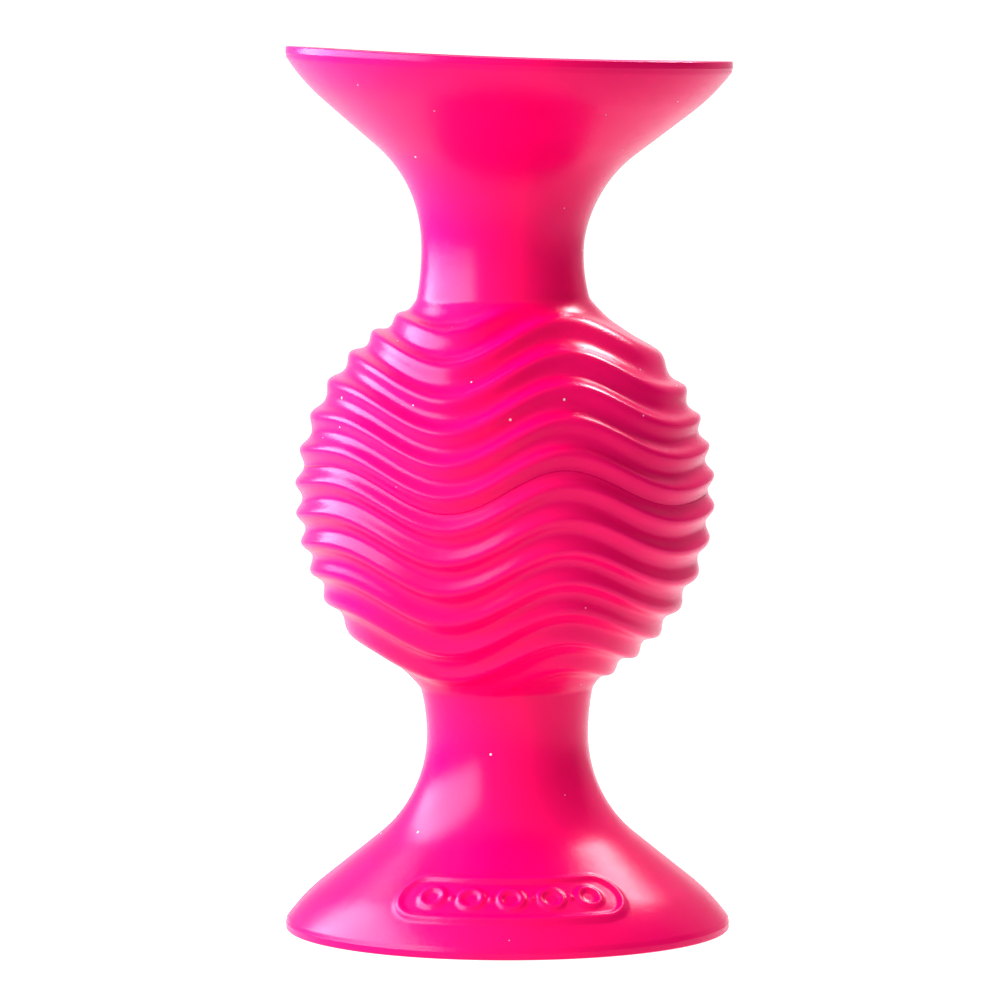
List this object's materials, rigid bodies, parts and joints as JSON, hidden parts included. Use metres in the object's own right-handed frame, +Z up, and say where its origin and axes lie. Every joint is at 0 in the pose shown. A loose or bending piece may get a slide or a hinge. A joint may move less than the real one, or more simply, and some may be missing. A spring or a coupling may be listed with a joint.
{
  "type": "double-ended silicone suction cup rattle",
  "caption": "Soft one-colour silicone toy: a ball grip with wavy ribs between two flared suction cups on flexible waists, with a rattle capsule inside.",
  "frame": {"origin": "centre of the lower cup's rim plane", "axes": "+Z up along the axis through both cups; the ribs are moulded along Y, so -Y and +Y are the mould's two faces and X is across them"},
  "size_m": [0.0532, 0.0532, 0.1044],
  "materials": {
    "silicone": "satin, lightly textured hot pink silicone",
    "capsule": "satin off-white moulded plastic",
    "bead": "tumbled bright steel"
  },
  "bodies": {
    "lower_cup_body": {"lower_cup": "silicone"},
    "grip_body": {"lower_grip": "silicone", "upper_grip": "silicone", "capsule_lower": "capsule", "capsule_upper": "capsule"},
    "upper_cup_body": {"upper_cup": "silicone"},
    "bead_1_body": {"bead_1": "bead"},
    "bead_2_body": {"bead_2": "bead"},
    "bead_3_body": {"bead_3": "bead"},
    "bead_4_body": {"bead_4": "bead"},
    "bead_5_body": {"bead_5": "bead"},
    "bead_6_body": {"bead_6": "bead"},
    "bead_7_body": {"bead_7": "bead"}
  },
  "joints": [
    {"name": "lower_waist_bend", "type": "hinge", "parent": "lower_cup_body", "child": "grip_body", "pos_m": [0, 0, 0.0233], "axis": [0, 1, 0], "range_deg": [-30, 30], "stiffness_Nm_per_rad": 0.3},
    {"name": "upper_waist_bend", "type": "hinge", "parent": "grip_body", "child": "upper_cup_body", "pos_m": [0, 0, 0.0811], "axis": [1, 0, 0], "range_deg": [-30, 30], "stiffness_Nm_per_rad": 0.3},
    {"name": "bead_1_hop", "type": "slide", "parent": "grip_body", "child": "bead_1_body", "axis": [0, 0, 1], "range_m": [0, 0.0228]},
    {"name": "bead_2_hop", "type": "slide", "parent": "grip_body", "child": "bead_2_body", "axis": [0, 0, 1], "range_m": [0, 0.0203]},
    {"name": "bead_3_hop", "type": "slide", "parent": "grip_body", "child": "bead_3_body", "axis": [0, 0, 1], "range_m": [0, 0.0203]},
    {"name": "bead_4_hop", "type": "slide", "parent": "grip_body", "child": "bead_4_body", "axis": [0, 0, 1], "range_m": [0, 0.0203]},
    {"name": "bead_5_hop", "type": "slide", "parent": "grip_body", "child": "bead_5_body", "axis": [0, 0, 1], "range_m": [0, 0.0203]},
    {"name": "bead_6_hop", "type": "slide", "parent": "grip_body", "child": "bead_6_body", "axis": [0, 0, 1], "range_m": [0, 0.0203]},
    {"name": "bead_7_hop", "type": "slide", "parent": "grip_body", "child": "bead_7_body", "axis": [0, 0, 1], "range_m": [0, 0.0203]}
  ]
}
